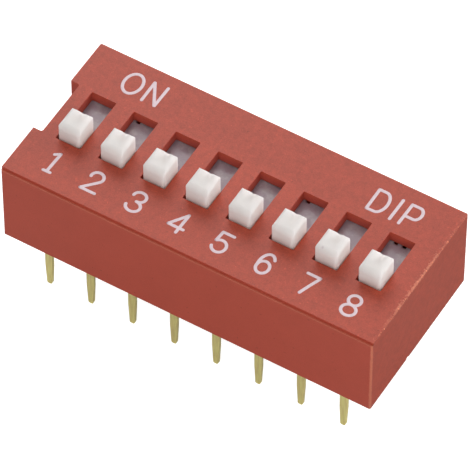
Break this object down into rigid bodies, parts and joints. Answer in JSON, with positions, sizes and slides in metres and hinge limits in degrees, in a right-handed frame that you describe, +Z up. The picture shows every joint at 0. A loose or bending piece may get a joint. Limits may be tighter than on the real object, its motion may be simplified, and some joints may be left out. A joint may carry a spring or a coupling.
{
  "type": "dip switch",
  "caption": "Bank of small slide switches in a flat rectangular housing, with grooved knobs in open windows and two rows of straight through-hole pins.",
  "frame": {"origin": "centre of the two rows of pins, in the plane of the cover's bottom rim", "axes": "+X along the row from switch 1 to switch 8, +Y from OFF to ON across the body, +Z up, out of the windows"},
  "size_m": [0.022, 0.0098, 0.0104],
  "materials": {
    "cover_plastic": "moulded brick red, slightly dusty",
    "base_plastic": "moulded black",
    "seal_resin": "poured black resin",
    "slider_plastic": "moulded off-white",
    "contact_metal": "gold-plated spring strip",
    "terminal_metal": "dull gold-plated strip"
  },
  "bodies": {
    "housing": {"cover": "cover_plastic", "base": "base_plastic", "seal": "seal_resin", "terminal_off_1": "terminal_metal", "terminal_off_2": "terminal_metal", "terminal_off_3": "terminal_metal", "terminal_off_4": "terminal_metal", "terminal_off_5": "terminal_metal", "terminal_off_6": "terminal_metal", "terminal_off_7": "terminal_metal", "terminal_off_8": "terminal_metal", "terminal_on_1": "terminal_metal", "terminal_on_2": "terminal_metal", "terminal_on_3": "terminal_metal", "terminal_on_4": "terminal_metal", "terminal_on_5": "terminal_metal", "terminal_on_6": "terminal_metal", "terminal_on_7": "terminal_metal", "terminal_on_8": "terminal_metal"},
    "switch_1": {"slider_1": "slider_plastic", "contact_1": "contact_metal"},
    "switch_2": {"slider_2": "slider_plastic", "contact_2": "contact_metal"},
    "switch_3": {"slider_3": "slider_plastic", "contact_3": "contact_metal"},
    "switch_4": {"slider_4": "slider_plastic", "contact_4": "contact_metal"},
    "switch_5": {"slider_5": "slider_plastic", "contact_5": "contact_metal"},
    "switch_6": {"slider_6": "slider_plastic", "contact_6": "contact_metal"},
    "switch_7": {"slider_7": "slider_plastic", "contact_7": "contact_metal"},
    "switch_8": {"slider_8": "slider_plastic", "contact_8": "contact_metal"}
  },
  "joints": [
    {"name": "switch_1_slide", "type": "slide", "parent": "housing", "child": "switch_1", "axis": [0, 1, 0], "range_m": [0, 0.002]},
    {"name": "switch_2_slide", "type": "slide", "parent": "housing", "child": "switch_2", "axis": [0, 1, 0], "range_m": [0, 0.002]},
    {"name": "switch_3_slide", "type": "slide", "parent": "housing", "child": "switch_3", "axis": [0, 1, 0], "range_m": [0, 0.002]},
    {"name": "switch_4_slide", "type": "slide", "parent": "housing", "child": "switch_4", "axis": [0, 1, 0], "range_m": [0, 0.002]},
    {"name": "switch_5_slide", "type": "slide", "parent": "housing", "child": "switch_5", "axis": [0, 1, 0], "range_m": [0, 0.002]},
    {"name": "switch_6_slide", "type": "slide", "parent": "housing", "child": "switch_6", "axis": [0, 1, 0], "range_m": [0, 0.002]},
    {"name": "switch_7_slide", "type": "slide", "parent": "housing", "child": "switch_7", "axis": [0, 1, 0], "range_m": [0, 0.002]},
    {"name": "switch_8_slide", "type": "slide", "parent": "housing", "child": "switch_8", "axis": [0, 1, 0], "range_m": [0, 0.002]}
  ]
}
